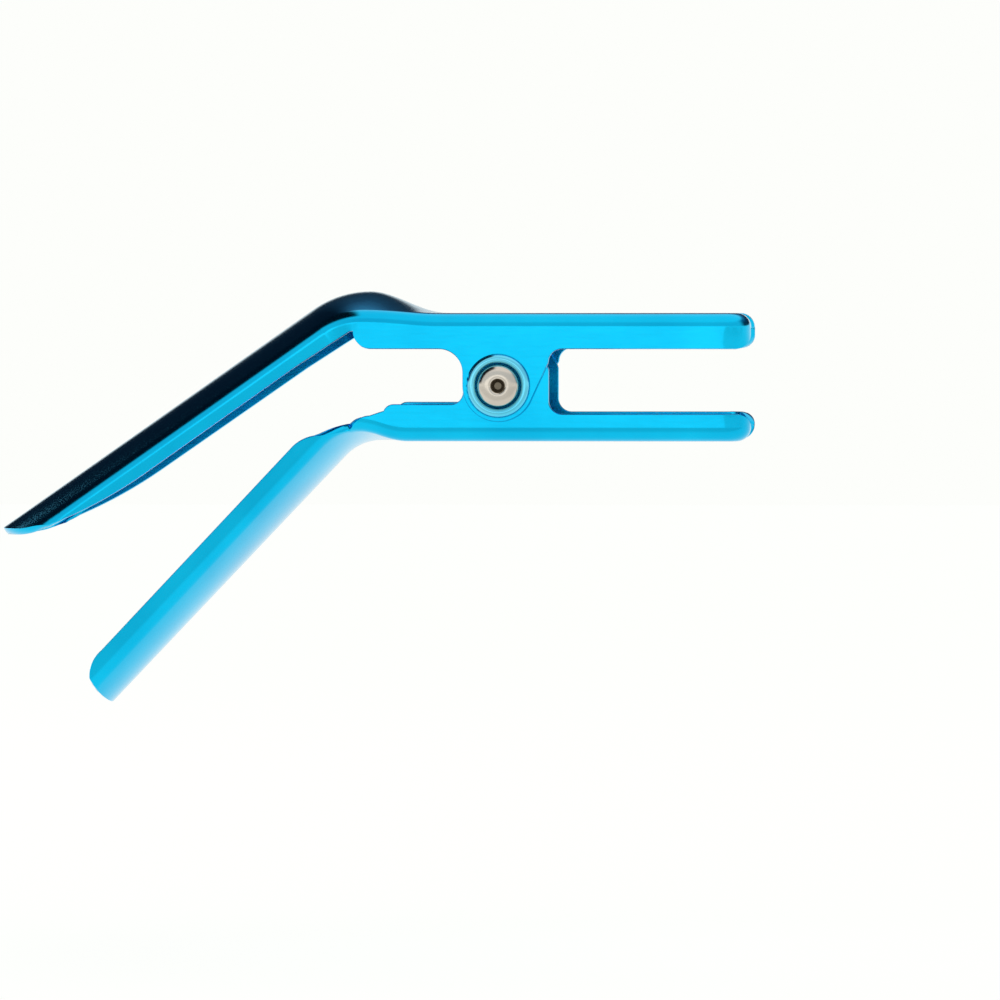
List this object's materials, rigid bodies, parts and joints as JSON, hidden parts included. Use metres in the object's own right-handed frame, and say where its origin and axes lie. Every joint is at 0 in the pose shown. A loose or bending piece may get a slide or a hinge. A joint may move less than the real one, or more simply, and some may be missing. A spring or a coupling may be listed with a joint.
{
  "type": "filter holder joint clamp",
  "caption": "Sprung two-lever pinch clamp of pressed blue aluminium with open-fronted forked jaws that hold the flange joint of a glass filter holder together.",
  "frame": {"origin": "centre of the held joint: on the axis of both jaw mouths, midway between the two jaw seats", "axes": "+Z along the axis of the held joint, towards the upper lever; +X from the handles to the jaw tips; +Y across the clamp, along the rivet, away from the side that the picture shows"},
  "size_m": [0.1173, 0.0408, 0.0642],
  "materials": {
    "blue_aluminium": "glossy blue anodised",
    "rivet_steel": "bright nickel plate",
    "spring_steel": "bright drawn wire"
  },
  "bodies": {
    "lower_arm": {"lower_lever": "blue_aluminium", "pivot_rivet": "rivet_steel", "spacer_sleeve": "rivet_steel", "torsion_spring": "spring_steel"},
    "upper_arm": {"upper_lever": "blue_aluminium"}
  },
  "joints": [
    {"name": "jaw_hinge", "type": "hinge", "parent": "lower_arm", "child": "upper_arm", "pos_m": [-0.027, 0, -0.0013], "axis": [0, -1, 0], "range_deg": [-16, 13], "stiffness_Nm_per_rad": 0.6, "deforming": ["torsion_spring"]}
  ]
}
